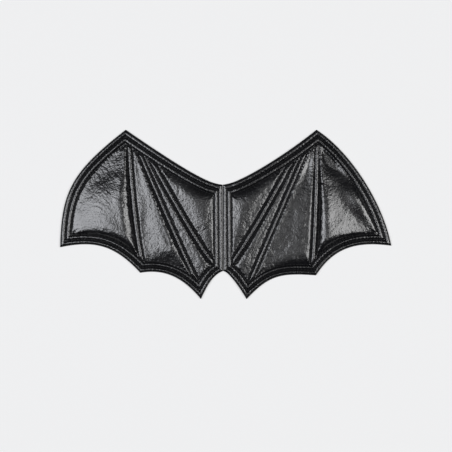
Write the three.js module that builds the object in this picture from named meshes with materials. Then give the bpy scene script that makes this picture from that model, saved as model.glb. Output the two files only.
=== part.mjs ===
// Padded bat wings of glossy black leatherette, two wings joined by a centre seam, lying on their back.
// Millimetres. X runs across the span, Y from the hem points up to the wrists, Z out of the front.
// The front sheet of each wing is quilted onto wadding, and each stuffed pocket between two rows of
// stitches is a solid of its own: an edge roll, a border rib, three finger ribs and four puffed panels.
import * as THREE from "three";
import { mergeVertices } from "three/addons/utils/BufferGeometryUtils.js";

// Driving dimensions
const SPAN = 420; // tip to tip
const HEIGHT = 215; // lowest hem point to the wrists
const BACK_SHEET = 1.2; // leatherette of the back with its backing cloth
const EDGE_ROLL_WIDTH = 6.5; // from the edge to the first row of stitches
const BORDER_RIB_WIDTH = 6.3; // from the first row of stitches to the second
const FIRST_RIB_WIDTH = 6.4; // between the rows of stitches of each finger rib
const SECOND_RIB_WIDTH = 6.6;
const THIRD_RIB_WIDTH = 7.9;
const STITCH_GAP = 0.3; // left between two neighbouring pockets by the row of stitches
const STITCHED_HEIGHT = 1.5; // front sheet and pressed wadding beside a row of stitches
const EDGE_ROLL_HEIGHT = 3.8; // crowns of the channels above the back sheet
const BORDER_RIB_HEIGHT = 3.6;
const FINGER_RIB_HEIGHT = 4.4;
const OUTER_HEIGHT = 9.5; // crowns of the four panels above the back sheet
const MIDDLE_HEIGHT = 8.5;
const INNER_HEIGHT = 6.2;
const ROOT_HEIGHT = 7.4;
const SHOULDER = 22; // from a row of stitches in to where a panel has its full height

// How finely the curves and the puffed tops are cut into facets
const EDGE_STEPS = 12;
const RIB_STEPS = 20;
const RIB_COLUMNS = 4;
const PANEL_ROWS = 16;
const PANEL_COLUMNS = 12;
const CUTTING_FINENESS = 6; // times finer while stitch lines are cut where they cross

// How full a puffed top looks: 0.5 is a round arch, 1 a parabola
const PUFF_ROUNDNESS = 0.75;

// A cubic curve bows by three quarters of what its handles do
const HANDLE_REACH = 4 / 3;

// Corners closer than this are one, in millimetres
const SAME_POINT = 1e-4;

// Bend, in 1/mm, of the copy of an outline on which the triangles of its underside are found
const OUTLINE_BEND = 1e-8;

// Corners of the wings. x is a share of SPAN and y of HEIGHT, from the middle of the outline.
const CORNERS = {
  neck: { left: { x: -0.01, y: 0.175 }, right: { x: -0.01, y: 0.175 } },
  wrist: { left: { x: -0.302, y: 0.5 }, right: { x: 0.274, y: 0.5 } },
  tip: { left: { x: -0.5, y: -0.194 }, right: { x: 0.5, y: -0.185 } },
  firstPoint: { left: { x: -0.258, y: -0.345 }, right: { x: 0.2725, y: -0.36 } },
  secondPoint: { left: { x: -0.075, y: -0.5 }, right: { x: 0.063, y: -0.5 } },
  crotch: { left: { x: -0.008, y: -0.334 }, right: { x: -0.008, y: -0.334 } },
};

// Edges in order round a wing. Each is one smooth curve over the chord between its corners, and its
// first three numbers are shares of that chord: hollow is how far it bows into the wing (minus is out
// of it), lean is where along it the bow is deepest, and full is how broad the bow is. rows is the
// share of the channel widths that the rows of stitches keep from this edge.
const EDGES = [
  { name: "collar", from: "neck", to: "wrist", rows: 1.13,
    left: { hollow: 0.04, lean: 0.24, full: 0.13 }, right: { hollow: 0.047, lean: 0.34, full: 0.24 } },
  { name: "leading", from: "wrist", to: "tip", rows: 1,
    left: { hollow: -0.148, lean: 0.55, full: 0.085 }, right: { hollow: -0.09, lean: 0.485, full: 0.22 } },
  { name: "firstScallop", from: "tip", to: "firstPoint", rows: 0.98,
    left: { hollow: 0.161, lean: 0.5, full: 0.12 }, right: { hollow: 0.17, lean: 0.545, full: 0.14 } },
  { name: "secondScallop", from: "firstPoint", to: "secondPoint", rows: 0.98,
    left: { hollow: 0.15, lean: 0.455, full: 0.155 }, right: { hollow: 0.151, lean: 0.54, full: 0.075 } },
  { name: "rootScallop", from: "secondPoint", to: "crotch", rows: 0.95,
    left: { hollow: 0.097, lean: 0.66, full: 0.125 }, right: { hollow: 0.062, lean: 0.75, full: 0.155 } },
  { name: "seam", from: "crotch", to: "neck", rows: 0.83,
    left: { hollow: 0, lean: 0.5, full: 0.17 }, right: { hollow: 0, lean: 0.5, full: 0.17 } },
];

// Finger ribs from the collar down to a corner of the border rib's crown. start is a share of the
// collar's second row of stitches from the wrist to the neck, and the other columns are those of EDGES.
const RIBS = [
  { name: "first_rib", to: "firstPoint", width: FIRST_RIB_WIDTH,
    left: { start: 0.05, hollow: -0.02, lean: 0.6, full: 0.2 },
    right: { start: 0.012, hollow: -0.009, lean: 0.58, full: 0.22 } },
  { name: "second_rib", to: "secondPoint", width: SECOND_RIB_WIDTH,
    left: { start: 0.173, hollow: -0.007, lean: 0.75, full: 0.2 },
    right: { start: 0.154, hollow: 0.001, lean: 0.7, full: 0.2 } },
  { name: "third_rib", to: "crotch", width: THIRD_RIB_WIDTH,
    left: { start: 0.313, hollow: -0.024, lean: 0.75, full: 0.195 },
    right: { start: 0.33, hollow: -0.017, lean: 0.62, full: 0.2 } },
];

// Sections of the channels that follow the edges. across is a share of the width from the edge in,
// up a share of the height.
const EDGE_ROLL_SECTION = [
  { across: 0, up: 0.45 },
  { across: 0.2, up: 0.8 },
  { across: 0.48, up: 1 },
  { across: 0.76, up: 0.76 },
  { across: 1, up: 0.34 },
];
const BORDER_RIB_SECTION = [
  { across: 0, up: 0.37 },
  { across: 0.24, up: 0.82 },
  { across: 0.5, up: 1 },
  { across: 0.76, up: 0.82 },
  { across: 1, up: 0.37 },
];

// Soft folds pressed into the panels. across and down place the middle as shares of the panel, turn
// is in degrees from across, long and wide are shares of SPAN, and deep is a share of the crown.
const FOLDS = [
  { panel: "left_outer_panel", across: 0.62, down: 0.3, turn: 12, long: 0.045, wide: 0.011, deep: 0.3 },
  { panel: "left_outer_panel", across: 0.66, down: 0.42, turn: -8, long: 0.04, wide: 0.009, deep: 0.22 },
  { panel: "left_outer_panel", across: 0.3, down: 0.72, turn: 70, long: 0.05, wide: 0.012, deep: 0.2 },
  { panel: "left_middle_panel", across: 0.35, down: 0.5, turn: 84, long: 0.08, wide: 0.01, deep: 0.24 },
  { panel: "left_inner_panel", across: 0.5, down: 0.45, turn: -55, long: 0.05, wide: 0.007, deep: 0.2 },
  { panel: "left_root_panel", across: 0.4, down: 0.4, turn: -60, long: 0.05, wide: 0.009, deep: 0.24 },
  { panel: "right_outer_panel", across: 0.45, down: 0.5, turn: 132, long: 0.09, wide: 0.012, deep: 0.3 },
  { panel: "right_outer_panel", across: 0.25, down: 0.32, turn: 20, long: 0.03, wide: 0.009, deep: 0.22 },
  { panel: "right_middle_panel", across: 0.5, down: 0.4, turn: 100, long: 0.07, wide: 0.01, deep: 0.24 },
  { panel: "right_inner_panel", across: 0.5, down: 0.8, turn: 10, long: 0.03, wide: 0.007, deep: 0.22 },
  { panel: "right_root_panel", across: 0.5, down: 0.45, turn: 62, long: 0.05, wide: 0.009, deep: 0.24 },
];

// The four panels of a wing by the ribs they lie between
const PANELS = [
  { name: "outer_panel", before: "first_rib", height: OUTER_HEIGHT },
  { name: "middle_panel", after: "first_rib", before: "second_rib", height: MIDDLE_HEIGHT },
  { name: "inner_panel", after: "second_rib", before: "third_rib", height: INNER_HEIGHT },
  { name: "root_panel", after: "third_rib", height: ROOT_HEIGHT },
];

// Materials
const frontLeatherette = { color: 0x0d0d10, roughness: 0.28, metalness: 0 };
const backLeatherette = { color: 0x0b0b0d, roughness: 0.45, metalness: 0 };

// From the edge to the crown of the border rib, and to the field of ribs and panels inside it
const BORDER_CROWN_MARGIN = EDGE_ROLL_WIDTH + BORDER_RIB_WIDTH / 2;
const FIELD_MARGIN = EDGE_ROLL_WIDTH + BORDER_RIB_WIDTH;

// Plane curves and polylines

// Which side of an edge the wing lies on, when its edges are followed in order
const insideOf = (side) => (side === "left" ? 1 : -1);

function bowedCurve(start, end, bow, inside) {
  const chord = end.clone().sub(start);
  const inward = new THREE.Vector2(-chord.y, chord.x).multiplyScalar(inside * bow.hollow * HANDLE_REACH);
  const handle = (share) => start.clone().addScaledVector(chord, share).add(inward);
  return new THREE.CubicBezierCurve(start, handle(bow.lean - bow.full), handle(bow.lean + bow.full), end);
}

// Points moved sideways off a curve, by distance towards its inside
function offsetPoints(curve, steps, distance, inside) {
  const points = [];
  for (let i = 0; i <= steps; i += 1) {
    const along = curve.getTangent(i / steps);
    const sideways = new THREE.Vector2(-along.y, along.x).multiplyScalar(inside * distance);
    points.push(curve.getPoint(i / steps).add(sideways));
  }
  return points;
}

// Where two polylines cross: the place along each, in steps, and the point
function crossings(first, second) {
  const found = [];
  for (let i = 0; i + 1 < first.length; i += 1) {
    const r = first[i + 1].clone().sub(first[i]);
    for (let j = 0; j + 1 < second.length; j += 1) {
      const s = second[j + 1].clone().sub(second[j]);
      const between = second[j].clone().sub(first[i]);
      const turn = r.cross(s);
      const onFirst = between.cross(s) / turn;
      const onSecond = between.cross(r) / turn;
      if (turn !== 0 && onFirst >= 0 && onFirst < 1 && onSecond >= 0 && onSecond < 1) {
        const point = first[i].clone().addScaledVector(r, onFirst);
        found.push({ first: i + onFirst, second: j + onSecond, point });
      }
    }
  }
  return found;
}

function pointAt(points, place) {
  const i = Math.min(Math.floor(place), points.length - 2);
  return points[i].clone().lerp(points[i + 1], place - i);
}

// The stretch of an open polyline between two places on it
function stretch(points, start, end) {
  const inner = points.filter((_, i) => i > start && i < end);
  return [pointAt(points, start), ...inner, pointAt(points, end)];
}

// The stretch of a closed polyline from one place forward to another
function stretchOfLoop(loop, start, end) {
  const count = loop.length;
  const twice = [...loop, ...loop, loop[0]];
  return stretch(twice, start, end > start ? end : end + count);
}

// The point a share of the way along a polyline by length
function pointAlong(points, share) {
  const reach = [0];
  for (let i = 1; i < points.length; i += 1) {
    reach.push(reach[i - 1] + points[i].distanceTo(points[i - 1]));
  }
  const wanted = reach[reach.length - 1] * share;
  const after = reach.findIndex((value) => value >= wanted);
  const i = after < 0 ? points.length - 1 : Math.max(1, after);
  const length = reach[i] - reach[i - 1];
  return points[i - 1].clone().lerp(points[i], length > 0 ? (wanted - reach[i - 1]) / length : 0);
}

// Points a set number of even steps apart along a polyline
function evenPoints(points, steps) {
  return Array.from({ length: steps + 1 }, (_, step) => pointAlong(points, step / steps));
}

function distanceToLoop(point, loop) {
  let nearest = Infinity;
  loop.forEach((start, i) => {
    const edge = loop[(i + 1) % loop.length].clone().sub(start);
    const away = point.clone().sub(start);
    const length = edge.lengthSq();
    const share = length > 0 ? THREE.MathUtils.clamp(away.dot(edge) / length, 0, 1) : 0;
    nearest = Math.min(nearest, away.addScaledVector(edge, -share).length());
  });
  return nearest;
}

// Outline of a wing

function cornerPoint(name, side) {
  const { x, y } = CORNERS[name][side];
  const atSeam = name === "neck" || name === "crotch";
  const seamGap = atSeam ? (-insideOf(side) * STITCH_GAP) / 2 : 0;
  return new THREE.Vector2(x * SPAN + seamGap, y * HEIGHT);
}

function wingEdges(side) {
  return EDGES.map((edge) => {
    const start = cornerPoint(edge.from, side);
    const end = cornerPoint(edge.to, side);
    return { ...edge, curve: bowedCurve(start, end, edge[side], insideOf(side)) };
  });
}

// The outline moved in by a margin, as one run of points for each edge, trimmed where they cross.
// Each edge takes its own share of the margin.
function insetRuns(side, margin) {
  const edges = wingEdges(side);
  const fine = CUTTING_FINENESS * EDGE_STEPS;
  const raw = edges.map((edge) => offsetPoints(edge.curve, fine, margin * edge.rows, insideOf(side)));
  const last = (list) => list[list.length - 1];
  const joints = raw.map((run, i) => last(crossings(run, raw[(i + 1) % raw.length])));
  return edges.map((edge, i) => {
    const before = joints[(i + joints.length - 1) % joints.length];
    const points = margin > 0 ? stretch(raw[i], before.second, joints[i].first) : raw[i];
    return { name: edge.name, to: edge.to, points: evenPoints(points, EDGE_STEPS) };
  });
}

// The same as one closed loop, with the place of each corner in it
function insetLoop(side, margin) {
  const loop = [];
  const corner = {};
  insetRuns(side, margin).forEach((run) => {
    loop.push(...run.points.slice(0, -1));
    corner[run.to] = loop.length;
  });
  corner.neck = 0;
  return { loop, corner };
}

// The end of a line carried straight on, far enough to cross the topstitching
function overrun(from, to) {
  return to.clone().sub(from).setLength(FIELD_MARGIN).add(to);
}

// Both long sides of a rib's channel, cut off where they meet a stitched loop
function ribSides(rib, side, halfWidth, field) {
  const { start, ...bow } = rib[side];
  const row = insetLoop(side, FIELD_MARGIN);
  const crown = insetLoop(side, BORDER_CROWN_MARGIN);
  const top = pointAlong(stretch(row.loop, 0, row.corner.wrist).reverse(), start);
  const foot = crown.loop[crown.corner[rib.to]];
  const curve = bowedCurve(top, foot, bow, insideOf(side));
  const sideAt = (distance) => {
    const points = offsetPoints(curve, CUTTING_FINENESS * RIB_STEPS, distance, insideOf(side));
    const line = [overrun(points[1], points[0]), ...points, overrun(...points.slice(-2))];
    const met = crossings(line, [...field.loop, field.loop[0]]);
    const head = met[0];
    const end = met[met.length - 1];
    return { points: stretch(line, head.first, end.first), head: head.second, end: end.second };
  };
  return { outer: sideAt(-halfWidth), inner: sideAt(halfWidth) };
}

// Four-sided patches

// Rows of plan points filling the space between four sides. The sides may be polylines or points.
function patchRows(sides, rowCount, columnCount) {
  const left = evenPoints(sides.left, rowCount);
  const right = evenPoints(sides.right, rowCount);
  const top = evenPoints(sides.top, columnCount);
  const bottom = evenPoints(sides.bottom, columnCount);
  const rows = [];
  for (let i = 0; i <= rowCount; i += 1) {
    const v = i / rowCount;
    const row = [];
    for (let j = 0; j <= columnCount; j += 1) {
      const u = j / columnCount;
      const point = new THREE.Vector2();
      point.addScaledVector(top[j], 1 - v).addScaledVector(bottom[j], v);
      point.addScaledVector(left[i], 1 - u).addScaledVector(right[i], u);
      point.addScaledVector(top[0], -(1 - u) * (1 - v)).addScaledVector(top[columnCount], -u * (1 - v));
      point.addScaledVector(bottom[0], -(1 - u) * v).addScaledVector(bottom[columnCount], -u * v);
      row.push(point);
    }
    rows.push(row);
  }
  return rows;
}

function rowsOutline(rows) {
  const last = rows.length - 1;
  const width = rows[0].length - 1;
  const down = rows.map((row) => row[0]);
  const up = rows.map((row) => row[width]).reverse();
  return [...down, ...rows[last].slice(1, width), ...up, ...rows[0].slice(1, width).reverse()];
}

// Round rise from a row of stitches, 0 there and 1 from the shoulder on
function puff(distance, shoulder) {
  const short = 1 - Math.min(distance / shoulder, 1);
  return Math.pow(1 - short * short, PUFF_ROUNDNESS);
}

// Solids with a puffed top and a flat underside on the back sheet

function triangleMesh(corners, triangles) {
  const geometry = new THREE.BufferGeometry();
  geometry.setAttribute("position", new THREE.Float32BufferAttribute(corners.flat(), 3));
  geometry.setIndex(triangles.flat());
  const merged = mergeVertices(geometry, SAME_POINT);
  const index = Array.from(merged.index.array);
  const kept = [];
  for (let i = 0; i < index.length; i += 3) {
    const [a, b, c] = index.slice(i, i + 3);
    if (a !== b && b !== c && c !== a) {
      kept.push(a, b, c);
    }
  }
  merged.setIndex(kept);
  merged.computeVertexNormals();
  return merged;
}

// A pad over rows of plan points, with its height above the back sheet at each. The triangles of its
// underside are found on a copy bent by under a micron, so no corner lies straight between two others.
function padGeometry(rows, heightOf) {
  const outline = rowsOutline(rows);
  const turned = THREE.ShapeUtils.area(outline) < 0;
  const width = rows[0].length;
  const corners = rows.flat().map((point) => [point.x, point.y, BACK_SHEET + heightOf(point)]);
  const floor = corners.length;
  outline.forEach((point) => corners.push([point.x, point.y, BACK_SHEET]));
  const triangles = [];
  for (let i = 0; i + 1 < rows.length; i += 1) {
    for (let j = 0; j + 1 < width; j += 1) {
      const a = i * width + j;
      triangles.push([a, a + width, a + width + 1], [a, a + width + 1, a + 1]);
    }
  }
  const rim = rowsOutline(rows.map((row, i) => row.map((_, j) => i * width + j)));
  rim.forEach((top, k) => {
    const next = (k + 1) % rim.length;
    triangles.push([top, floor + k, floor + next], [top, floor + next, rim[next]]);
  });
  const bend = ({ x, y }) => new THREE.Vector2(x + OUTLINE_BEND * y * y, y + OUTLINE_BEND * x * x);
  const bent = outline.map(bend);
  THREE.ShapeUtils.triangulateShape(turned ? bent.reverse() : bent, []).forEach((face) => {
    const place = (k) => floor + (turned ? outline.length - 1 - k : k);
    const [a, b, c] = turned ? [...face].reverse() : face;
    triangles.push([place(c), place(b), place(a)]);
  });
  return triangleMesh(corners, turned ? triangles.map(([a, b, c]) => [a, c, b]) : triangles);
}

// A closed channel between an outer and an inner loop, with a section table
function channelGeometry(outer, inner, section, height, side) {
  const width = section.length;
  const count = outer.length;
  const corners = [];
  outer.forEach((start, i) => {
    section.forEach(({ across, up }) => {
      const point = start.clone().lerp(inner[i], across);
      corners.push([point.x, point.y, BACK_SHEET + up * height]);
    });
  });
  const floor = corners.length;
  outer.forEach((start, i) => {
    corners.push([start.x, start.y, BACK_SHEET], [inner[i].x, inner[i].y, BACK_SHEET]);
  });
  const triangles = [];
  const quad = (a, b, c, d) => triangles.push([a, b, c], [a, c, d]);
  for (let i = 0; i < count; i += 1) {
    const here = i * width;
    const next = ((i + 1) % count) * width;
    const under = floor + 2 * i;
    const underNext = floor + 2 * ((i + 1) % count);
    for (let j = 0; j + 1 < width; j += 1) {
      quad(here + j, next + j, next + j + 1, here + j + 1);
    }
    quad(under, underNext, next, here);
    quad(here + width - 1, next + width - 1, underNext + 1, under + 1);
    quad(under + 1, underNext + 1, underNext, under);
  }
  const turned = insideOf(side) < 0;
  return triangleMesh(corners, turned ? triangles.map(([a, b, c]) => [a, c, b]) : triangles);
}

// Sub-parts

const wings = new THREE.Group();

function addPart(name, geometry, finish) {
  const mesh = new THREE.Mesh(geometry, new THREE.MeshStandardMaterial(finish));
  mesh.name = name;
  wings.add(mesh);
}

function addBackPanel(side) {
  const outline = new THREE.Shape(insetLoop(side, 0).loop);
  const geometry = new THREE.ExtrudeGeometry(outline, { depth: BACK_SHEET, bevelEnabled: false });
  addPart(`${side}_back_panel`, geometry, backLeatherette);
}

function addBorderChannels(side) {
  const edge = insetLoop(side, 0).loop;
  const firstRowOutside = insetLoop(side, EDGE_ROLL_WIDTH - STITCH_GAP / 2).loop;
  const firstRowInside = insetLoop(side, EDGE_ROLL_WIDTH + STITCH_GAP / 2).loop;
  const secondRow = insetLoop(side, FIELD_MARGIN - STITCH_GAP / 2).loop;
  const roll = channelGeometry(edge, firstRowOutside, EDGE_ROLL_SECTION, EDGE_ROLL_HEIGHT, side);
  const rib = channelGeometry(firstRowInside, secondRow, BORDER_RIB_SECTION, BORDER_RIB_HEIGHT, side);
  addPart(`${side}_edge_roll`, roll, frontLeatherette);
  addPart(`${side}_border_rib`, rib, frontLeatherette);
}

function addRibs(side) {
  const field = insetLoop(side, FIELD_MARGIN + STITCH_GAP / 2);
  RIBS.forEach((rib) => {
    const channel = ribSides(rib, side, (rib.width - STITCH_GAP) / 2, field);
    const sides = {
      left: channel.outer.points,
      right: channel.inner.points,
      top: headStretch(field, channel.outer, channel.inner),
      bottom: stretchOfLoop(field.loop, channel.outer.end, channel.inner.end),
    };
    const rows = patchRows(sides, RIB_STEPS, RIB_COLUMNS);
    const outline = rowsOutline(rows);
    const rise = FINGER_RIB_HEIGHT - STITCHED_HEIGHT;
    const shareOf = (point) => puff(distanceToLoop(point, outline), rib.width / 2);
    const heightOf = (point) => STITCHED_HEIGHT + rise * shareOf(point);
    addPart(`${side}_${rib.name}`, padGeometry(rows, heightOf), frontLeatherette);
  });
}

// Along the collar or the wrist, from the head of one line to the head of the next one inwards
function headStretch(field, from, to) {
  return stretchOfLoop(field.loop, to.head, from.head).reverse();
}

// The four sides of a panel between its ribs
function panelSides(panel, side, field) {
  const sidesOf = (name) => {
    const rib = RIBS.find((row) => row.name === name);
    return ribSides(rib, side, (rib.width + STITCH_GAP) / 2, field);
  };
  const before = panel.before && sidesOf(panel.before).outer;
  const after = panel.after && sidesOf(panel.after).inner;
  if (!after) {
    return {
      left: stretchOfLoop(field.loop, before.head, field.corner.tip),
      right: before.points,
      top: [before.points[0], before.points[0]],
      bottom: stretchOfLoop(field.loop, field.corner.tip, before.end),
    };
  }
  if (!before) {
    const foot = after.points[after.points.length - 1];
    return {
      left: after.points,
      right: stretchOfLoop(field.loop, after.end, field.loop.length).reverse(),
      top: stretch(field.loop, 0, after.head).reverse(),
      bottom: [foot, foot],
    };
  }
  return {
    left: after.points,
    right: before.points,
    top: headStretch(field, after, before),
    bottom: stretchOfLoop(field.loop, after.end, before.end),
  };
}

// How much of its rise a point keeps beside one fold
function foldShare(point, middle, fold) {
  const turn = THREE.MathUtils.degToRad(fold.turn);
  const away = point.clone().sub(middle).rotateAround(new THREE.Vector2(), -turn);
  const along = away.x / (fold.long * SPAN);
  const beside = away.y / (fold.wide * SPAN);
  return 1 - fold.deep * Math.exp(-(along * along) - beside * beside);
}

function addPanels(side) {
  const field = insetLoop(side, FIELD_MARGIN + STITCH_GAP / 2);
  PANELS.forEach((panel) => {
    const name = `${side}_${panel.name}`;
    const rows = patchRows(panelSides(panel, side, field), PANEL_ROWS, PANEL_COLUMNS);
    const outline = rowsOutline(rows);
    const folds = FOLDS.filter((fold) => fold.panel === name).map((fold) => {
      const row = rows[Math.round(fold.down * PANEL_ROWS)];
      return { ...fold, middle: row[Math.round(fold.across * PANEL_COLUMNS)] };
    });
    const rise = panel.height - STITCHED_HEIGHT;
    const heightOf = (point) => {
      const full = rise * puff(distanceToLoop(point, outline), SHOULDER);
      return STITCHED_HEIGHT + folds.reduce((left, fold) => left * foldShare(point, fold.middle, fold), full);
    };
    addPart(name, padGeometry(rows, heightOf), frontLeatherette);
  });
}

["left", "right"].forEach((side) => {
  addBackPanel(side);
  addBorderChannels(side);
  addRibs(side);
  addPanels(side);
});

export default wings;
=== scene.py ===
"""Padded costume bat wings of glossy black leatherette, lying on their back.

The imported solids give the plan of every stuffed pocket. Each pocket is cut out again as a finely
meshed front sheet, raised over its wadding, wrinkled as cloth, crinkled, and closed on the back sheet.
Thread lies in the rows of stitches. Metres throughout, +X across the span, +Y to the wrists, +Z out
of the padded front.
"""

import math

import bmesh
import bpy
import numpy as np
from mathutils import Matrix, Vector, geometry, noise


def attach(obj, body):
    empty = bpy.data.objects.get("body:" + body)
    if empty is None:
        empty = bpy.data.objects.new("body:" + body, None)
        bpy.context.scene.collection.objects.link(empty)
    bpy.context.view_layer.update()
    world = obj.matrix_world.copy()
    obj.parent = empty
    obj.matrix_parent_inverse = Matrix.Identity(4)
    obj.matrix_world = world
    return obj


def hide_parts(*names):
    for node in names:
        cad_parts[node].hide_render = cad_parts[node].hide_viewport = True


bl_info = {
    "name": "Padded bat wings",
    "version": (1, 0, 0),
    "blender": (4, 5, 0),
    "location": "3D View > Sidebar > Bat wings",
    "description": "Quilted leatherette bat wings over their packed solids",
    "category": "Add Mesh",
}

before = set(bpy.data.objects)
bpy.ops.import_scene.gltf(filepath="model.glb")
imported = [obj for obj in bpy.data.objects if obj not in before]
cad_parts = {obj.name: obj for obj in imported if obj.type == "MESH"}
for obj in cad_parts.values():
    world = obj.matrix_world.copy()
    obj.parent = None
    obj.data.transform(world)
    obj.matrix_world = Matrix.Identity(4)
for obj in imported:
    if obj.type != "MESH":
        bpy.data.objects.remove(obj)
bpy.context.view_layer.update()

MM = 0.001

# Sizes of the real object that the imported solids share
SPAN = 420 * MM
HEIGHT = 215 * MM
BACK_SHEET = 1.2 * MM
STITCHED_HEIGHT = 1.5 * MM
STITCH_GAP = 0.3 * MM

WINGS = ["left", "right"]


def table(columns, rows):
    """The rows of a table as records under the names of its columns."""
    return [dict(zip(columns.split(), row)) for row in rows]


# Stuffed panels, sizes in millimetres: rise is the height above the stitches at the crown. A panel has
# its full rise so far in from its stitches on its west (-X), east, hem (-Y) and collar side. round is 1
# for a straight slope up to the crown and 2 for an arch. fill is how tightly the panel is stuffed.
PANEL_TABLE = table(
    "panel rise west east hem collar round fill",
    [
        ("left_outer_panel", 7.0, 64, 12, 7, 70, 2.6, 0.5),
        ("left_middle_panel", 4.0, 44, 5, 24, 30, 1.4, 0.5),
        ("left_inner_panel", 2.4, 20, 4, 6, 30, 1.3, 0.45),
        ("left_root_panel", 3.2, 34, 18, 12, 13, 2, 0.45),
        ("right_outer_panel", 7.0, 6, 68, 4, 30, 1.1, 0.5),
        ("right_middle_panel", 2.4, 40, 5, 8, 30, 1.4, 0.5),
        ("right_inner_panel", 2.6, 4, 18, 6, 30, 1.3, 0.45),
        ("right_root_panel", 3.2, 18, 34, 12, 13, 2, 0.45),
    ],
)
PANELS = {row["panel"]: row for row in PANEL_TABLE}

# Stuffed channels: crown is the height above the back sheet, reach is how far in from its stitches a
# channel has its full height, and shoulder is the share of it that rises at once beside the stitches
RIBS = {
    "first_rib": {"crown": 3.9 * MM, "reach": 3.2 * MM, "shoulder": 0.6},
    "second_rib": {"crown": 4.4 * MM, "reach": 3.3 * MM, "shoulder": 0.15},
    "third_rib": {"crown": 4.6 * MM, "reach": 3.9 * MM, "shoulder": 0.15},
}
BORDER_RIB = {"crown": 3.4 * MM, "reach": 3.1 * MM, "shoulder": 0}
SHOULDER_REACH = 0.9 * MM
EDGE_ROLL = {"crown": 3.6 * MM, "outer_reach": 3.4 * MM, "inner_reach": 3.0 * MM}
TURNED_EDGE_HEIGHT = 1.7 * MM

# A panel's sheet stands up in a lip close beside a row of stitches that runs from collar to hem. The
# lip has its full height at its reach and is gone beyond its fade. Folds and swells start clear of it.
LIP = {"height": 1.2 * MM, "reach": 2.0 * MM, "fade": 6 * MM}
FOLD_CLEARANCE = 5 * MM

# A ridge between the slopes from two sides is eased this many times over, within this far of the rim
EASING_ROUNDS = 7
EASING_CLEARANCE = 6 * MM

# The seam allowances press the channels flatter beside the centre seam, by this share near the seam.
# The press fades over its last stretch and is gone at its reach.
SEAM_AT = -3.4 * MM
SEAM_PRESS = 0.3
SEAM_REACH = 16 * MM
SEAM_FADE = SEAM_REACH / 3

# Folds and swells worked into the panels. x is a share of SPAN and y of HEIGHT from the middle of the
# outline, turn is in degrees from across, long and wide are shares of SPAN, and lift is in
# millimetres, below zero for a fold.
FOLDS = table(
    "panel x y turn long wide lift",
    [
        ("left_outer_panel", -0.338, 0.286, 60, 0.067, 0.042, -1.4),
        ("left_outer_panel", -0.347, 0.256, 12, 0.045, 0.010, -0.7),
        ("left_outer_panel", -0.368, 0.209, 20, 0.039, 0.008, -0.7),
        ("left_outer_panel", -0.329, 0.180, 6, 0.030, 0.008, -0.6),
        ("left_outer_panel", -0.395, 0.168, 42, 0.036, 0.009, -0.5),
        ("left_middle_panel", -0.264, -0.045, 84, 0.085, 0.012, 1.2),
        ("left_middle_panel", -0.259, 0.274, 2, 0.027, 0.007, -0.6),
        ("left_middle_panel", -0.175, -0.139, -20, 0.030, 0.009, -0.4),
        ("right_outer_panel", 0.345, 0.333, -36, 0.109, 0.067, -6.0),
        ("right_outer_panel", 0.406, 0.073, -50, 0.097, 0.027, 5.6),
        ("right_outer_panel", 0.318, 0.168, -24, 0.033, 0.008, -0.6),
        ("right_outer_panel", 0.336, 0.103, -34, 0.033, 0.007, -0.5),
        ("right_outer_panel", 0.412, 0.126, -48, 0.027, 0.007, -0.4),
        ("right_middle_panel", 0.255, 0.321, -10, 0.042, 0.060, -2.2),
        ("right_middle_panel", 0.185, -0.169, 60, 0.036, 0.008, -0.6),
        ("right_middle_panel", 0.170, -0.222, 48, 0.030, 0.007, -0.5),
        ("right_middle_panel", 0.200, -0.080, 64, 0.030, 0.007, -0.4),
        ("right_inner_panel", 0.061, -0.323, 4, 0.021, 0.006, -0.6),
    ],
)

# How full a puffed top looks: 0.5 is a round arch, 1 a parabola
PUFF_ROUNDNESS = 0.75

# An outline keeps a corner where it turns by more degrees than this
CORNER_TURN = 27

# Cloth is simulated ten times up, where the solver's usual settings hold
CLOTH_SCALE = 10
CLOTH_FRAMES = 22

# A simulated sheet less the same sheet eased this many times over leaves its wrinkles. They are cut
# off at a most height and fade out towards the stitches.
WRINKLE_ROUNDS = 12
MOST_WRINKLE = 0.2 * MM
WRINKLE_CLEARANCE = 10 * MM

# Crinkles are weaker beside the stitches, where the sheet is pulled taut, and on the narrow channels
TAUT_REACH = 4 * MM
TAUT_SHARE = 0.25
CHANNEL_CRINKLE = 0.55

# Two faces that meet at more degrees than this are shaded apart
SHARP_EDGE = 50

# The back sheet: spacing of its corners, the groove that the bobbin thread pulls in, and its rounded rim
BACK_SPACING = 2.2 * MM
GROOVE_REACH = 0.8 * MM
RIM_DROP = 0.4 * MM
RIM_REACH = 1.5 * MM

# Distances to an outline are worked out for this many points at a time, to spare memory
CHUNK = 4000


# Outlines


def turns(loop):
    """The angle that a closed outline turns by at each of its points, in degrees."""
    before = loop - np.roll(loop, 1, axis=0)
    after = np.roll(loop, -1, axis=0) - loop
    cross = before[:, 0] * after[:, 1] - before[:, 1] * after[:, 0]
    along = (before * after).sum(axis=1)
    return np.degrees(np.abs(np.arctan2(cross, along)))


def plan_loops(node):
    """Outlines of a node's flat underside: the outer one anticlockwise and a hole clockwise."""
    mesh = node.data
    corners = np.array([v.co[:] for v in mesh.vertices])
    floor = corners[:, 2].min() + 0.01 * MM
    places, merged, points = {}, [], []
    for corner in corners:
        key = tuple(np.round(corner / (0.001 * MM)).astype(int))
        if key not in places:
            places[key] = len(points)
            points.append(corner[:2])
        merged.append(places[key])
    sides = set()
    for face in mesh.polygons:
        if all(corners[i, 2] < floor for i in face.vertices):
            ring = [merged[i] for i in face.vertices]
            sides.update(zip(ring, ring[1:] + ring[:1]))
    ahead = {a: b for a, b in sides if (b, a) not in sides}
    loops = []
    while ahead:
        start, here = ahead.popitem()
        ring = [start]
        while here != start:
            ring.append(here)
            here = ahead.pop(here)
        loops.append(np.array([points[i] for i in ring])[::-1])
    return sorted(loops, key=lambda loop: -loop_area(loop))


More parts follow.
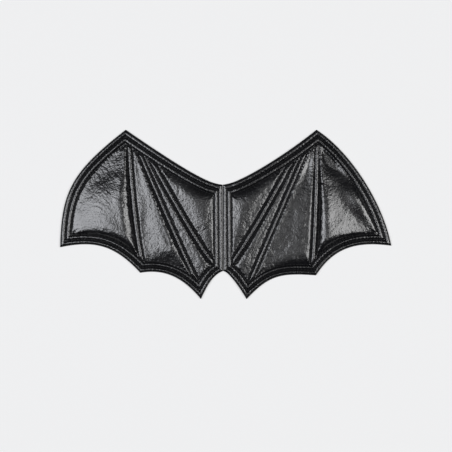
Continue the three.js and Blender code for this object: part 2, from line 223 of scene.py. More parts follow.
def loop_area(loop):
    x, y = loop.T
    return 0.5 * float(np.sum(x * np.roll(y, -1) - y * np.roll(x, -1)))


def smooth_run(points, spacing):
    """Even points along a smooth curve through a run of points, its ends included."""
    reach = np.concatenate([[0], np.cumsum(np.linalg.norm(np.diff(points, axis=0), axis=1))])
    wanted = np.linspace(0, reach[-1], max(1, round(reach[-1] / spacing)) + 1)
    slope = np.gradient(points, reach, axis=0, edge_order=min(2, len(points) - 1))
    i = np.clip(np.searchsorted(reach, wanted, side="right") - 1, 0, len(points) - 2)
    step = (reach[i + 1] - reach[i])[:, None]
    t = (wanted - reach[i])[:, None] / step
    start = (2 * t**3 - 3 * t**2 + 1) * points[i] + (t**3 - 2 * t**2 + t) * step * slope[i]
    end = (3 * t**2 - 2 * t**3) * points[i + 1] + (t**3 - t**2) * step * slope[i + 1]
    return start + end


def smooth_loop(loop, spacing):
    """A closed outline as even points on smooth curves between its corners."""
    corners = np.flatnonzero(turns(loop) > CORNER_TURN)
    if len(corners) == 0:
        corners = np.array([0])
    loop = np.roll(loop, -corners[0], axis=0)
    corners = np.append(corners - corners[0], len(loop))
    closed = np.vstack([loop, loop[:1]])
    runs = [smooth_run(closed[a : b + 1], spacing)[:-1] for a, b in zip(corners[:-1], corners[1:])]
    return np.vstack(runs)


def inside(points, loops):
    """True for the points that lie within the outlines and out of their holes."""
    result = np.zeros(len(points), dtype=bool)
    for loop in loops:
        for a, b in zip(loop, np.roll(loop, -1, axis=0)):
            if a[1] == b[1]:
                continue
            spans = (a[1] > points[:, 1]) != (b[1] > points[:, 1])
            crossing = (b[0] - a[0]) * (points[:, 1] - a[1]) / (b[1] - a[1]) + a[0]
            result ^= spans & (points[:, 0] < crossing)
    return result


def measure_rim(points, loop):
    """Distance of each plan point from an outline, and how far along the outline its foot lies."""
    ends = np.roll(loop, -1, axis=0)
    side = ends - loop
    length = np.linalg.norm(side, axis=1)
    reach = np.concatenate([[0], np.cumsum(length)[:-1]])
    distance = np.empty(len(points))
    along = np.empty(len(points))
    for first in range(0, len(points), CHUNK):
        part = points[first : first + CHUNK, None, :] - loop[None]
        share = np.clip((part * side).sum(axis=2) / length**2, 0, 1)
        away = np.linalg.norm(part - share[..., None] * side, axis=2)
        nearest = away.argmin(axis=1)
        rows = np.arange(len(nearest))
        distance[first : first + CHUNK] = away[rows, nearest]
        along[first : first + CHUNK] = reach[nearest] + share[rows, nearest] * length[nearest]
    return distance, along


def inward_normals(loop):
    """The way in from each side of an anticlockwise outline, and the sides as vectors."""
    ends = np.roll(loop, -1, axis=0)
    side = ends - loop
    inward = np.stack([-side[:, 1], side[:, 0]], axis=1)
    return inward / np.linalg.norm(inward, axis=1, keepdims=True), side


def rise_shares(points, loop, shape):
    """How far up its slopes each plan point lies, from 0 at the stitches to 1 at the crown."""
    inward, side = inward_normals(loop)
    across = np.where(inward[:, 0] > 0, shape["west"], shape["east"]) * MM
    along = np.where(inward[:, 1] > 0, shape["hem"], shape["collar"]) * MM
    reach = 1 / (inward[:, 0] ** 2 / across + inward[:, 1] ** 2 / along)
    shares = np.empty(len(points))
    for first in range(0, len(points), CHUNK):
        part = points[first : first + CHUNK, None, :] - loop[None]
        foot = np.clip((part * side).sum(axis=2) / (side**2).sum(axis=1), 0, 1)
        away = np.linalg.norm(part - foot[..., None] * side, axis=2)
        shares[first : first + CHUNK] = (away / reach).min(axis=1)
    return np.clip(shares, 0, 1)


# Sheets


def cut_sheet(loops, spacing, seed, extra=()):
    """A flat sheet of near-even triangles between outlines, as plan points and faces."""
    rng = np.random.default_rng(seed)
    rim = np.vstack(loops)
    low, high = rim.min(axis=0), rim.max(axis=0)
    rows = np.arange(low[1], high[1], spacing * math.sqrt(0.75))
    columns = np.arange(low[0] - spacing, high[0] + spacing, spacing)
    grid = np.array([(x + 0.5 * spacing * (i % 2), y) for i, y in enumerate(rows) for x in columns])
    grid += rng.uniform(-0.2, 0.2, grid.shape) * spacing
    grid = grid[inside(grid, loops)]
    clear = np.min([measure_rim(grid, loop)[0] for loop in loops], axis=0) > 0.55 * spacing
    grid = grid[clear]
    for line in extra:
        grid = grid[measure_rim(grid, line)[0] > 0.6 * spacing]
    points = [Vector(p / MM) for p in np.vstack([rim, grid, *extra])]
    sides, first = [], 0
    for loop in loops:
        sides += [(first + i, first + (i + 1) % len(loop)) for i in range(len(loop))]
        first += len(loop)
    made, _, faces, *_ = geometry.delaunay_2d_cdt(points, sides, [], 0, 1e-5)
    made = np.array([p[:] for p in made]) * MM
    faces = np.array(faces)
    faces = faces[inside(made[faces].mean(axis=1), loops)]
    return made, faces


def new_piece(name, points, faces):
    mesh = bpy.data.meshes.new(name)
    mesh.from_pydata([tuple(p) for p in points], [], [tuple(int(i) for i in f) for f in faces])
    piece = bpy.data.objects.new(name, mesh)
    bpy.context.scene.collection.objects.link(piece)
    return piece


def corners_of(piece):
    corners = np.empty(3 * len(piece.data.vertices))
    piece.data.vertices.foreach_get("co", corners)
    return corners.reshape(-1, 3)


def set_corners(piece, corners):
    piece.data.vertices.foreach_set("co", corners.ravel())
    piece.data.update()


def rim_corners(piece):
    """Indices of the corners on the open edges of a sheet."""
    mesh = bmesh.new()
    mesh.from_mesh(piece.data)
    rim = sorted({v.index for edge in mesh.edges if edge.is_boundary for v in edge.verts})
    mesh.free()
    return rim


def apply_modifiers(piece):
    depsgraph = bpy.context.evaluated_depsgraph_get()
    applied = bpy.data.meshes.new_from_object(piece.evaluated_get(depsgraph))
    old = piece.data
    piece.modifiers.clear()
    piece.data = applied
    applied.name = piece.name
    bpy.data.meshes.remove(old)


def blow_up(piece, faces, freedom, quilting):
    """Simulates a sheet as cloth on its wadding, held at its row of stitches, for its fine wrinkles."""
    start = corners_of(piece)
    set_corners(piece, start * CLOTH_SCALE)
    stitched = piece.vertex_groups.new(name="stitched")
    stitched.add(rim_corners(piece), 1, "REPLACE")
    cloth = piece.modifiers.new("cloth", "CLOTH")
    settings = cloth.settings
    settings.quality = 6
    settings.mass = 0.3
    settings.tension_stiffness = settings.compression_stiffness = 14
    settings.shear_stiffness = 5
    settings.bending_stiffness = quilting.stiffness
    settings.shrink_min = -quilting.slack
    settings.use_pressure = True
    settings.uniform_pressure_force = quilting.pressure
    settings.effector_weights.gravity = 0
    settings.vertex_group_mass = stitched.name
    cloth.collision_settings.use_collision = False
    cloth.point_cache.frame_start = 1
    cloth.point_cache.frame_end = CLOTH_FRAMES
    for step in range(1, CLOTH_FRAMES + 1):
        bpy.context.scene.frame_set(step)
    apply_modifiers(piece)
    bpy.context.scene.frame_set(1)
    piece.vertex_groups.clear()
    lift = corners_of(piece)[:, 2] / CLOTH_SCALE - start[:, 2]
    wrinkles = lift - ease(lift, faces, 1, WRINKLE_ROUNDS)
    start[:, 2] += freedom * np.clip(wrinkles, -MOST_WRINKLE, MOST_WRINKLE)
    set_corners(piece, start)


def refine(piece):
    """Cuts a sheet once more into finer faces on a smooth surface."""
    finer = piece.modifiers.new("finer", "SUBSURF")
    finer.levels = finer.render_levels = 1
    finer.boundary_smooth = "PRESERVE_CORNERS"
    apply_modifiers(piece)


def close_pocket(piece, base):
    """Walls down from the rim of a front sheet, and an underside, so the pocket is one closed form."""
    mesh = bmesh.new()
    mesh.from_mesh(piece.data)
    rim = [edge for edge in mesh.edges if edge.is_boundary]
    wall = bmesh.ops.extrude_edge_only(mesh, edges=rim)["geom"]
    for corner in wall:
        if isinstance(corner, bmesh.types.BMVert):
            corner.co.z = base
    foot = [edge for edge in wall if isinstance(edge, bmesh.types.BMEdge) and edge.is_boundary]
    bmesh.ops.triangle_fill(mesh, use_beauty=True, edges=foot)
    bmesh.ops.recalc_face_normals(mesh, faces=mesh.faces)
    mesh.to_mesh(piece.data)
    mesh.free()
    piece.data.shade_smooth()
    sharpen_walls(piece)


def sharpen_walls(piece):
    """Keeps the shading of the front sheet apart from the walls in the stitch groove."""
    mesh = bmesh.new()
    mesh.from_mesh(piece.data)
    for edge in mesh.edges:
        if len(edge.link_faces) == 2 and edge.calc_face_angle(0) > math.radians(SHARP_EDGE):
            edge.smooth = False
    mesh.to_mesh(piece.data)
    mesh.free()


# Shapes of the front sheet


def puff(share):
    """Round rise, 0 at a row of stitches and 1 from the full height on."""
    short = 1 - np.clip(share, 0, 1)
    return (1 - short**2) ** PUFF_ROUNDNESS


def panel_height(plan, faces, loop, node):
    """Height over the back sheet of a loosely stuffed panel, with its folds and swells and its lips."""
    shape = PANELS[node]
    distance, along = measure_rim(plan, loop)
    rise = shape["rise"] * MM * (1 - (1 - rise_shares(plan, loop, shape)) ** shape["round"])
    rise += fold_lift(plan, node) * np.clip(distance / FOLD_CLEARANCE, 0, 1)
    rise = ease(rise, faces, np.clip(distance / EASING_CLEARANCE, 0, 1), EASING_ROUNDS)
    return STITCHED_HEIGHT + rise + lip_height(distance, along, loop)


def ease(rise, faces, freedom, rounds):
    """Evens out a height over a sheet, where it is free to move."""
    sides = np.vstack([faces[:, [0, 1]], faces[:, [1, 2]], faces[:, [2, 0]]])
    pairs = np.vstack([sides, sides[:, ::-1]])
    count = np.bincount(pairs[:, 0], minlength=len(rise))
    for _ in range(rounds):
        around = np.bincount(pairs[:, 0], weights=rise[pairs[:, 1]], minlength=len(rise)) / count
        rise = rise + freedom * (around - rise)
    return rise


def lip_height(distance, along, loop):
    """The lip beside a row of stitches, fullest where the row runs from collar to hem."""
    inward, side = inward_normals(loop)
    starts = np.concatenate([[0], np.cumsum(np.linalg.norm(side, axis=1))[:-1]])
    nearest = np.searchsorted(starts, along, side="right") - 1
    upright = np.clip((np.abs(inward[nearest, 0]) - 0.55) / 0.3, 0, 1)
    fading = np.exp(-((distance / LIP["fade"]) ** 2))
    return LIP["height"] * upright * puff(distance / LIP["reach"]) * fading


def fold_lift(points, panel):
    """What the folds and swells of a panel add to its height."""
    lift = np.zeros(len(points))
    for fold in FOLDS:
        if fold["panel"] != panel:
            continue
        turn = math.radians(fold["turn"])
        away = points - np.array([fold["x"] * SPAN, fold["y"] * HEIGHT])
        along = (away[:, 0] * math.cos(turn) + away[:, 1] * math.sin(turn)) / (fold["long"] * SPAN)
        beside = (away[:, 1] * math.cos(turn) - away[:, 0] * math.sin(turn)) / (fold["wide"] * SPAN)
        lift += fold["lift"] * MM * np.exp(-(along**2) - beside**2)
    return lift


def noise_at(points, size, seed):
    """Smooth noise from about -1 to 1 at points, with lumps of a size."""
    shift = Vector((seed * 7.13, seed * 3.71, seed * 1.93))
    return np.array([noise.noise(Vector(p) / size + shift) for p in points])


def crease_at(points, size, seed):
    """Sharp valleys between rounded lumps of a size, from 0 in a crease to about 1."""
    return np.abs(noise_at(points, size, seed)) * 2


def crinkle(points, quilting, seed):
    """Crinkles of the coated sheet, as a lift along its normal."""
    size = quilting.crinkle_size
    warp = np.stack([noise_at(points, 3 * size, seed + k) for k in (1, 2, 3)], axis=1)
    bent = points + 0.8 * size * warp
    broad = crease_at(bent, size, seed + 4) - 0.4
    fine = crease_at(bent, 0.45 * size, seed + 5) - 0.4
    worn = np.clip(0.55 + 1.6 * noise_at(points, 5 * size, seed + 6), 0.1, 1.4)
    return quilting.crinkle_depth * worn * (broad + 0.4 * fine)


def pucker(distance, along, stitching, seed):
    """How the sheet draws in at each stitch beside a row, as a height."""
    wave = np.cos(2 * np.pi * along / stitching.pitch)
    spot = np.stack([along, np.zeros_like(along), np.zeros_like(along)], axis=1)
    uneven = 0.75 + 0.6 * noise_at(spot, 5 * stitching.pitch, seed)
    return -stitching.pucker * uneven * wave * np.exp(-distance / (0.4 * stitching.pitch))


def normals_of(piece):
    normals = np.empty(3 * len(piece.data.vertices))
    piece.data.vertices.foreach_get("normal", normals)
    return normals.reshape(-1, 3)


def work_surface(piece, loops, strength, seed):
    """Puckers a sheet at its stitches and crinkles it between them."""
    scene = bpy.context.scene
    corners = corners_of(piece)
    normals = normals_of(piece)
    measures = [measure_rim(corners[:, :2], loop) for loop in loops]
    distance = np.min([m[0] for m in measures], axis=0)
    free = np.clip(distance / TAUT_REACH, TAUT_SHARE, 1)
    lift = strength * free * crinkle(corners, scene.wing_quilting, seed)
    corners += normals * lift[:, None]
    for k, (away, along) in enumerate(measures):
        corners[:, 2] += pucker(away, along, scene.wing_stitching, seed + 11 + k)
    set_corners(piece, corners)


def finish_pocket(piece, node):
    close_pocket(piece, BACK_SHEET)
    piece.data.materials.clear()
    piece.data.materials.append(front_leatherette())
    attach(piece, "root")
    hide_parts(node)


def pocket_loops(node, spacing):
    return [smooth_loop(loop, spacing) for loop in plan_loops(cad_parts[node])]


def make_panel(node, seed):
    quilting = bpy.context.scene.wing_quilting
    loops = pocket_loops(node, quilting.panel_mesh)
    plan, faces = cut_sheet(loops, quilting.panel_mesh, seed)
    top = BACK_SHEET + panel_height(plan, faces, loops[0], node)
    piece = new_piece(f"{node}_sheet", np.column_stack([plan, top]), faces)
    freedom = np.clip(measure_rim(plan, loops[0])[0] / WRINKLE_CLEARANCE, 0, 1)
    blow_up(piece, faces, freedom, quilting)
    refine(piece)
    work_surface(piece, loops, 1, seed)
    finish_pocket(piece, node)
    return piece


def make_channel(node, height_of, seed):
    quilting = bpy.context.scene.wing_quilting
    loops = pocket_loops(node, quilting.channel_mesh)
    plan, faces = cut_sheet(loops, quilting.channel_mesh, seed)
    distances = [measure_rim(plan, loop)[0] for loop in loops]
    pressed = SEAM_PRESS * np.clip((SEAM_REACH - np.abs(plan[:, 0] - SEAM_AT)) / SEAM_FADE, 0, 1)
    height = height_of(distances) - STITCHED_HEIGHT
    top = BACK_SHEET + STITCHED_HEIGHT + height * (1 - pressed)
    piece = new_piece(f"{node}_sheet", np.column_stack([plan, top]), faces)
    refine(piece)
    work_surface(piece, loops, CHANNEL_CRINKLE, seed)
    finish_pocket(piece, node)
    return piece


def channel_height(sizes):
    """Height over the back sheet of a channel that is round between its rows of stitches."""
    rise = sizes["crown"] - STITCHED_HEIGHT
    shoulder = sizes["shoulder"]

    def height_of(distances):
        inner = np.min(distances, axis=0)
        arch = puff(inner / sizes["reach"])
        return STITCHED_HEIGHT + rise * (shoulder * puff(inner / SHOULDER_REACH) + (1 - shoulder) * arch)

    return height_of


def edge_roll_height(distances):
    """Height of the edge roll: round over the turned edge, falling to the first row of stitches."""
    outer, inner = distances
    crown = EDGE_ROLL["crown"]
    short = 1 - np.clip(outer / EDGE_ROLL["outer_reach"], 0, 1)
    from_edge = crown - (crown - TURNED_EDGE_HEIGHT) * short**2
    from_row = STITCHED_HEIGHT + (crown - STITCHED_HEIGHT) * puff(inner / EDGE_ROLL["inner_reach"])
    return np.minimum(from_edge, from_row)


# Back sheet


def offset_loop(loop, distance):
    """An outline moved sideways, out for a positive distance."""
    along = np.roll(loop, -1, axis=0) - np.roll(loop, 1, axis=0)
    along /= np.linalg.norm(along, axis=1, keepdims=True)
    return loop + distance * np.stack([along[:, 1], -along[:, 0]], axis=1)


def stitch_rows(wing, spacing):
    """The rows of stitches of a wing, each a closed line in the middle of its gap."""
    border = pocket_loops(f"{wing}_border_rib", spacing)
    rows = [offset_loop(border[0], STITCH_GAP / 2), offset_loop(border[1], STITCH_GAP / 2)]
    for rib in RIBS:
        rows.append(offset_loop(pocket_loops(f"{wing}_{rib}", spacing)[0], STITCH_GAP / 2))
    return rows


def make_back_panel(wing, seed):
    node = f"{wing}_back_panel"
    stitching = bpy.context.scene.wing_stitching
    loops = pocket_loops(node, BACK_SPACING)
    rows = stitch_rows(wing, BACK_SPACING)
    shifts = (-GROOVE_REACH, 0, GROOVE_REACH)
    lines = [offset_loop(row, shift) for row in rows[:2] for shift in shifts]
    plan, faces = cut_sheet(loops, BACK_SPACING, seed, extra=lines)
    from_edge = measure_rim(plan, loops[0])[0]
    from_row = np.min([measure_rim(plan, row)[0] for row in rows[:2]], axis=0)
    groove = stitching.thread * 0.9 * np.clip(1 - from_row / GROOVE_REACH, 0, 1)
    rounding = RIM_DROP * (1 - puff(from_edge / RIM_REACH))
    under = np.column_stack([plan, groove + rounding])
    over = np.column_stack([plan, np.full(len(plan), BACK_SHEET - 0.02 * MM)])
    count = len(plan)
    upper = [tuple(f) for f in faces + count]
    lower = [tuple(f[::-1]) for f in faces]
    sides = {(f[i], f[(i + 1) % 3]) for f in faces.tolist() for i in range(3)}
    walls = [(a, b, b + count, a + count) for a, b in sides if (b, a) not in sides]
    piece = new_piece(f"{node}_sheet", np.vstack([under, over]), lower + walls + upper)
    piece.data.shade_smooth()
    sharpen_walls(piece)
    piece.data.materials.append(back_leatherette())
    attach(piece, "root")
    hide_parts(node)
    return piece


# Thread


def stitch_form(length, thread):
    """One stitch along +X, a rounded thread whose ends dive into the sheet: corners and faces."""
    sides, rings = 8, 7
    corners, faces = [], []
    for i in range(rings):
        u = 2 * i / (rings - 1) - 1
        radius = thread / 2 * math.sqrt(max(0.02, 1 - u**6))
        drop = -0.9 * thread * u**4
        for j in range(sides):
            angle = 2 * math.pi * j / sides
            corners.append((u * length / 2, radius * math.cos(angle), drop + radius * math.sin(angle)))
    for i in range(rings - 1):
        for j in range(sides):
            k = (j + 1) % sides
            faces.append((i * sides + j, i * sides + k, (i + 1) * sides + k, (i + 1) * sides + j))
    faces.append(tuple(range(sides)))
    faces.append(tuple((rings - 1) * sides + j for j in reversed(range(sides))))
    return np.array(corners), faces


def row_stitches(row, stitching, height):
    """Places and headings of the stitches along one closed row, a whole number of them."""
    closed = np.vstack([row, row[:1]])
    reach = np.concatenate([[0], np.cumsum(np.linalg.norm(np.diff(closed, axis=0), axis=1))])
    count = round(reach[-1] / stitching.pitch)
    pitch = reach[-1] / count
    places = []
    for i in range(count):
        start, end = (i + 0.12) * pitch, (i + 0.88) * pitch
        a, b = (np.array([np.interp(s, reach, closed[:, k]) for k in (0, 1)]) for s in (start, end))
        places.append(((a + b) / 2, b - a, height))
    return places


def make_stitches(name, places, thread, side):
    """All stitches of a group of rows as one mesh. side is 1 on the front and -1 on the back."""
    corners, faces = [], []
    for middle, chord, height in places:
        form, shape = stitch_form(np.linalg.norm(chord), thread)
        ahead = chord / np.linalg.norm(chord)
        first = len(corners)
        for x, y, z in form:
            spot = middle + x * ahead + y * np.array([-ahead[1], ahead[0]])
            corners.append((spot[0], spot[1], height + side * z))
        order = 1 if side > 0 else -1
        faces += [tuple(first + i for i in face[::order]) for face in shape]
    piece = new_piece(name, corners, faces)
    piece.data.shade_smooth()
    piece.data.materials.append(stitching_thread())
    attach(piece, "root")
    return piece


# Materials


def linear(hex_colour):
    """A colour written as sRGB hex, as the linear one that the shaders take."""
    parts = [int(hex_colour[i : i + 2], 16) / 255 for i in (1, 3, 5)]
    return [p / 12.92 if p <= 0.04045 else ((p + 0.055) / 1.055) ** 2.4 for p in parts] + [1]


def add_node(tree, kind, values=None, links=None, **settings):
    """A node with its settings, its input values and what is linked into its inputs."""
    node = tree.nodes.new(kind)
    for key, value in settings.items():
        setattr(node, key, value)
    for socket, value in (values or {}).items():
        node.inputs[socket].default_value = value
    for socket, source in (links or {}).items():
        tree.links.new(source, node.inputs[socket])
    return node


def start_material(name):
    """A new material with only an output: the material, its tree and the output node."""
    material = bpy.data.materials.new(name)
    material.use_nodes = True
    tree = material.node_tree
    tree.nodes.clear()
    return material, tree, tree.nodes.new("ShaderNodeOutputMaterial")


def leatherette(name, colour, worn_colour, grain_depth, gloss):
    """Polyurethane film embossed on cloth: a fine crinkled grain under a wet-looking coat."""
    if name in bpy.data.materials:
        return bpy.data.materials[name]
    settings = bpy.context.scene.wing_leatherette
    material, tree, output = start_material(name)
    place = add_node(tree, "ShaderNodeTexCoord").outputs["Object"]
    # slow drift in colour and gloss, from handling
    drift = add_node(
        tree, "ShaderNodeTexNoise", {"Scale": 1 / (25 * MM), "Detail": 3}, {"Vector": place}
    ).outputs["Fac"]
    # the embossed grain: small cushions between pressed lines
    bend = add_node(
        tree, "ShaderNodeTexNoise", {"Scale": 1 / settings.grain_size, "Detail": 2}, {"Vector": place}
    ).outputs["Color"]
    bent = add_node(
        tree,
        "ShaderNodeMix",
        {"Factor": 0.0012},
        {"A": place, "B": bend},
        data_type="VECTOR",
    ).outputs[1]
    cells = add_node(
        tree,
        "ShaderNodeTexVoronoi",
        {"Scale": 1 / settings.grain_size, "Randomness": 1},
        {"Vector": bent},
        feature="SMOOTH_F1",
    ).outputs["Distance"]
    # crinkles where the film has been creased
    creases = add_node(
        tree,
        "ShaderNodeTexNoise",
        {"Scale": 1 / (3 * settings.grain_size), "Detail": 5, "Roughness": 0.62, "Distortion": 0.6},
        {"Vector": place},
    ).outputs["Fac"]
    colour_mix = add_node(
        tree,
        "ShaderNodeMix",
        {"A": linear(colour), "B": linear(worn_colour)},
        {"Factor": drift},
        data_type="RGBA",
    ).outputs[2]
    roughness = add_node(
        tree,
        "ShaderNodeMapRange",
        {"From Min": 0.3, "From Max": 0.7, "To Min": gloss, "To Max": gloss + 0.1},
        {"Value": drift},
    ).outputs["Result"]
    crease_bump = add_node(
        tree,
        "ShaderNodeBump",
        {"Strength": 1, "Distance": 1.4 * grain_depth},
        {"Height": creases},
    ).outputs["Normal"]
    grain_bump = add_node(
        tree,
        "ShaderNodeBump",
        {"Strength": 1, "Distance": grain_depth},
        {"Height": cells, "Normal": crease_bump},
        invert=True,
    ).outputs["Normal"]
    surface = add_node(
        tree,
        "ShaderNodeBsdfPrincipled",
        {"IOR": 1.5, "Coat Weight": 0.6, "Coat Roughness": 0.18, "Coat IOR": 1.5},
        {
            "Base Color": colour_mix,
            "Roughness": roughness,
            "Normal": grain_bump,
            "Coat Normal": grain_bump,
        },
    )
    tree.links.new(surface.outputs["BSDF"], output.inputs["Surface"])
    return material


def front_leatherette():
    settings = bpy.context.scene.wing_leatherette
    name = "Glossy crinkled leatherette"
    return leatherette(name, "#09090b", "#111114", settings.grain_depth, settings.gloss)


def back_leatherette():
    settings = bpy.context.scene.wing_leatherette
    name = "Pressed leatherette of the back"
    depth = 0.6 * settings.grain_depth
    gloss = settings.gloss + 0.12
    return leatherette(name, "#0b0b0d", "#131316", depth, gloss)


def stitching_thread():
    """Bonded polyester thread, twisted, nearly matt beside the glossy film."""
    name = "Bonded topstitching thread"
    if name in bpy.data.materials:
        return bpy.data.materials[name]
    material, tree, output = start_material(name)
    place = add_node(tree, "ShaderNodeTexCoord").outputs["Object"]
    twist = add_node(
        tree,
        "ShaderNodeTexWave",
        {"Scale": 1 / (2.2 * MM), "Distortion": 1.5, "Detail": 1},
        {"Vector": place},
        bands_direction="DIAGONAL",
    ).outputs["Fac"]
    # painted shade: the twisted strands are painted lighter on their raised crowns and darker in the
    # grooves between them
    painted_twist_shade = add_node(
        tree,
        "ShaderNodeMix",
        {"A": linear("#0d0d0f"), "B": linear("#1b1b1f")},
        {"Factor": twist},
        data_type="RGBA",
    ).outputs[2]
    bump = add_node(
        tree, "ShaderNodeBump", {"Strength": 0.7, "Distance": 0.1 * MM}, {"Height": twist}
    ).outputs["Normal"]
    surface = add_node(
        tree,
        "ShaderNodeBsdfPrincipled",
        {"Roughness": 0.7, "IOR": 1.5},
        {"Base Color": painted_twist_shade, "Normal": bump},
    )
    tree.links.new(surface.outputs["BSDF"], output.inputs["Surface"])
    return material


def studio_paper():
    """Seamless matt paper, evenly lit from behind its face so that shadows stay faint."""
    settings = bpy.context.scene.wing_stage
    material, tree, output = start_material("Seamless studio paper")
    place = add_node(tree, "ShaderNodeTexCoord").outputs["Object"]
    fibre = add_node(
        tree, "ShaderNodeTexNoise", {"Scale": 1 / (3 * MM), "Detail": 2}, {"Vector": place}
    ).outputs["Fac"]
    tone = add_node(
        tree,
        "ShaderNodeMapRange",
        {"To Min": 0.995, "To Max": 1.005},
        {"Value": fibre},
    ).outputs["Result"]
    paint = add_node(
        tree,
        "ShaderNodeMix",
        {"A": (0, 0, 0, 1), "B": linear("#b4b4b4")},
        {"Factor": tone},
        data_type="RGBA",
        clamp_factor=False,
    ).outputs[2]
    surface = add_node(
        tree,
        "ShaderNodeBsdfPrincipled",
        {
            "Roughness": 0.9,
            "Specular IOR Level": 0.1,
            "Emission Color": linear("#ececec"),
            "Emission Strength": settings.paper_glow,
        },
        {"Base Color": paint},
    )
    tree.links.new(surface.outputs["BSDF"], output.inputs["Surface"])
    return material


# Stage

# How the photograph frames the wings, read off it: its size and the middle of the outline
PICTURE_PIXELS = 452
MIDDLE_IN_PICTURE = (225.75, 214.4)
MM_PER_PIXEL = 1.27
CAMERA_DISTANCE = 1.0

# Softboxes: tilt is how far over to the right of straight above each hangs, in degrees, away is how
# far off it hangs, wide and deep are its size, all in metres, and glow is the brightness of its face
SOFTBOXES = table(
    "name tilt away wide deep glow colour",
    [
        ("left_softbox", -28, 4.0, 2.2, 1.75, 7.3, "#f8faff"),
        ("right_softbox", 32, 4.0, 2.0, 1.75, 7.2, "#ffffff"),
        ("overhead_softbox", -4, 4.2, 1.1, 1.1, 1.1, "#ffffff"),
    ],
)


def make_floor():
    piece = new_piece(
        "studio_floor",
        [(x, y, -0.3 * MM) for x, y in ((-6, -6), (6, -6), (6, 6), (-6, 6))],
        [(0, 1, 2, 3)],
    )
    piece.data.materials.append(studio_paper())


def make_softbox(box, strength):
    light = bpy.data.lights.new(box["name"], "AREA")
    light.shape = "RECTANGLE"
    light.size, light.size_y = box["wide"], box["deep"]
    light.color = linear(box["colour"])[:3]
    light.energy = strength * box["glow"] * math.pi * box["wide"] * box["deep"]
    lamp = bpy.data.objects.new(box["name"], light)
    tilt = math.radians(box["tilt"])
    out = Vector((math.sin(tilt), 0, math.cos(tilt)))
    lamp.location = out * box["away"]
    lamp.rotation_euler = (0, tilt, 0)
    bpy.context.scene.collection.objects.link(lamp)


def make_camera():
    middle = PICTURE_PIXELS / 2
    right = (middle - MIDDLE_IN_PICTURE[0]) * MM_PER_PIXEL * MM
    down = (middle - MIDDLE_IN_PICTURE[1]) * MM_PER_PIXEL * MM
    lens = bpy.data.cameras.new("overhead_camera")
    lens.lens = lens.sensor_width * CAMERA_DISTANCE / (PICTURE_PIXELS * MM_PER_PIXEL * MM)
    camera = bpy.data.objects.new("overhead_camera", lens)
    camera.location = (right, -down, CAMERA_DISTANCE + BACK_SHEET)
    bpy.context.scene.collection.objects.link(camera)
    bpy.context.scene.camera = camera


def make_world(settings):
    world = bpy.data.worlds.new("Dim studio")
    world.use_nodes = True
    background = world.node_tree.nodes["Background"]
    background.inputs["Color"].default_value = linear("#ffffff")
    background.inputs["Strength"].default_value = settings.room_light
    bpy.context.scene.world = world
    bpy.context.scene.view_settings.view_transform = "Standard"


# Settings


class LeatheretteSettings(bpy.types.PropertyGroup):
    """The coated sheet that the wings are sewn from."""

    grain_size: bpy.props.FloatProperty(
        name="Grain size", description="Across one cushion of the embossed grain",
        default=2.0 * MM, min=0.3 * MM, unit="LENGTH", subtype="DISTANCE",
    )
    grain_depth: bpy.props.FloatProperty(
        name="Grain depth", description="Height of the grain's cushions over its pressed lines",
        default=0.18 * MM, min=0, unit="LENGTH", subtype="DISTANCE",
    )
    gloss: bpy.props.FloatProperty(
        name="Roughness", description="Roughness of the film, lower is glossier",
        default=0.23, min=0.02, max=1, subtype="FACTOR",
    )


class QuiltingSettings(bpy.types.PropertyGroup):
    """How the front sheet is meshed, stuffed and creased."""

    panel_mesh: bpy.props.FloatProperty(
        name="Panel mesh", description="Spacing of the corners of a panel's sheet as cloth",
        default=1.7 * MM, min=1 * MM, unit="LENGTH", subtype="DISTANCE",
    )
    channel_mesh: bpy.props.FloatProperty(
        name="Channel mesh", description="Spacing of the corners of a rib's or border channel's sheet",
        default=1.15 * MM, min=0.6 * MM, unit="LENGTH", subtype="DISTANCE",
    )
    pressure: bpy.props.FloatProperty(
        name="Wadding pressure", description="Pressure of the wadding under a panel's sheet",
        default=1.5, min=0,
    )
    slack: bpy.props.FloatProperty(
        name="Slack", description="How much longer the sheet is than the shape it is sewn down on",
        default=0.003, min=0, max=0.3, subtype="FACTOR",
    )
    stiffness: bpy.props.FloatProperty(
        name="Bending stiffness", description="How much the sheet resists a sharp fold",
        default=0.15, min=0,
    )
    crinkle_size: bpy.props.FloatProperty(
        name="Crinkle size", description="Across one facet of the creased sheet",
        default=9 * MM, min=1 * MM, unit="LENGTH", subtype="DISTANCE",
    )
    crinkle_depth: bpy.props.FloatProperty(
        name="Crinkle depth", description="Height of a facet over the creases round it",
        default=0.12 * MM, min=0, unit="LENGTH", subtype="DISTANCE",
    )


class StitchingSettings(bpy.types.PropertyGroup):
    """The rows of topstitching."""

    pitch: bpy.props.FloatProperty(
        name="Stitch pitch", description="From one stitch to the next",
        default=4.4 * MM, min=1 * MM, unit="LENGTH", subtype="DISTANCE",
    )
    thread: bpy.props.FloatProperty(
        name="Thread thickness", description="Across the topstitching thread",
        default=0.5 * MM, min=0.1 * MM, unit="LENGTH", subtype="DISTANCE",
    )
    pucker: bpy.props.FloatProperty(
        name="Pucker", description="How deep the sheet draws in at a stitch",
        default=0.13 * MM, min=0, unit="LENGTH", subtype="DISTANCE",
    )


class StageSettings(bpy.types.PropertyGroup):
    """Floor, camera and light."""

    softbox_strength: bpy.props.FloatProperty(
        name="Softbox strength", description="Multiplies the brightness of every softbox",
        default=1, min=0,
    )
    room_light: bpy.props.FloatProperty(
        name="Room light", description="Brightness of the dim room round the stage",
        default=0.015, min=0,
    )
    paper_glow: bpy.props.FloatProperty(
        name="Paper glow", description="Light that the backlit paper gives off by itself",
        default=0.56, min=0,
    )


# Operators


class MakeBackPanels(bpy.types.Operator):
    """Cut the two back sheets that the wings lie on."""

    bl_idname = "bat_wings.back_panels"
    bl_label = "Back panels"

    def execute(self, context):
        for i, wing in enumerate(WINGS):
            make_back_panel(wing, 10 + i)
        return {"FINISHED"}


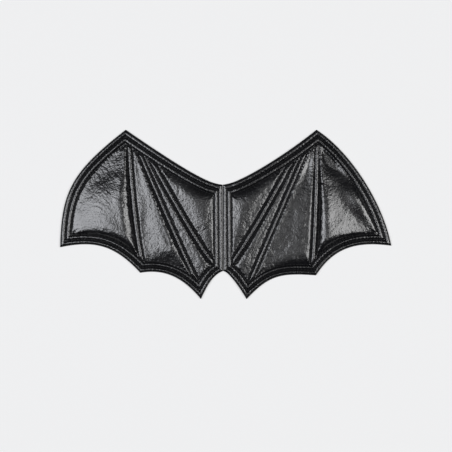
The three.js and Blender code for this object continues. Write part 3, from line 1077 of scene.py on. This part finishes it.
class MakeBorders(bpy.types.Operator):
    """Stuff the edge roll and the border rib of each wing."""

    bl_idname = "bat_wings.borders"
    bl_label = "Edge rolls and border ribs"

    def execute(self, context):
        for i, wing in enumerate(WINGS):
            make_channel(f"{wing}_edge_roll", edge_roll_height, 20 + i)
            make_channel(f"{wing}_border_rib", channel_height(BORDER_RIB), 30 + i)
        return {"FINISHED"}


class MakeFingerRibs(bpy.types.Operator):
    """Stuff the three finger ribs of each wing."""

    bl_idname = "bat_wings.finger_ribs"
    bl_label = "Finger ribs"

    def execute(self, context):
        for i, wing in enumerate(WINGS):
            for j, (rib, sizes) in enumerate(RIBS.items()):
                make_channel(f"{wing}_{rib}", channel_height(sizes), 40 + 3 * i + j)
        return {"FINISHED"}


class MakePanels(bpy.types.Operator):
    """Raise the four puffed panels of each wing."""

    bl_idname = "bat_wings.panels"
    bl_label = "Puffed panels"

    def execute(self, context):
        for i, node in enumerate(PANELS):
            make_panel(node, 50 + i)
        return {"FINISHED"}


class MakeTopstitching(bpy.types.Operator):
    """Lay the thread of every row of stitches, front and back."""

    bl_idname = "bat_wings.topstitching"
    bl_label = "Topstitching"

    def execute(self, context):
        stitching = context.scene.wing_stitching
        front = BACK_SHEET + STITCHED_HEIGHT
        back = stitching.thread / 2
        for wing in WINGS:
            rows = stitch_rows(wing, 2 * MM)
            tops = [place for row in rows for place in row_stitches(row, stitching, front)]
            unders = [place for row in rows[:2] for place in row_stitches(row, stitching, back)]
            make_stitches(f"{wing}_topstitching", tops, stitching.thread, 1)
            make_stitches(f"{wing}_bobbin_stitches", unders, stitching.thread * 0.8, -1)
        return {"FINISHED"}


class MakeStage(bpy.types.Operator):
    """Set the pale floor, the softboxes and the camera straight above."""

    bl_idname = "bat_wings.stage"
    bl_label = "Stage"

    def execute(self, context):
        settings = context.scene.wing_stage
        make_floor()
        make_world(settings)
        make_camera()
        for box in SOFTBOXES:
            make_softbox(box, settings.softbox_strength)
        return {"FINISHED"}


STEPS = [MakeStage, MakeBackPanels, MakeBorders, MakeFingerRibs, MakePanels, MakeTopstitching]
GROUPS = {
    "wing_leatherette": LeatheretteSettings,
    "wing_quilting": QuiltingSettings,
    "wing_stitching": StitchingSettings,
    "wing_stage": StageSettings,
}


class BatWingsPanel(bpy.types.Panel):
    """Settings and steps of the bat wings."""

    bl_idname = "VIEW3D_PT_bat_wings"
    bl_label = "Bat wings"
    bl_space_type = "VIEW_3D"
    bl_region_type = "UI"
    bl_category = "Bat wings"

    def draw(self, context):
        for group, kind in GROUPS.items():
            box = self.layout.box()
            for name in kind.__annotations__:
                box.prop(getattr(context.scene, group), name)
        for step in STEPS:
            self.layout.operator(step.bl_idname)


def register():
    for group in [*GROUPS.values(), *STEPS, BatWingsPanel]:
        bpy.utils.register_class(group)
    for name, group in GROUPS.items():
        setattr(bpy.types.Scene, name, bpy.props.PointerProperty(type=group))


def unregister():
    for name in GROUPS:
        delattr(bpy.types.Scene, name)
    for group in reversed([*GROUPS.values(), *STEPS, BatWingsPanel]):
        bpy.utils.unregister_class(group)


def main():
    register()
    bpy.ops.bat_wings.stage()
    bpy.ops.bat_wings.back_panels()
    bpy.ops.bat_wings.borders()
    bpy.ops.bat_wings.finger_ribs()
    bpy.ops.bat_wings.panels()
    bpy.ops.bat_wings.topstitching()


if __name__ == "__main__":
    main()
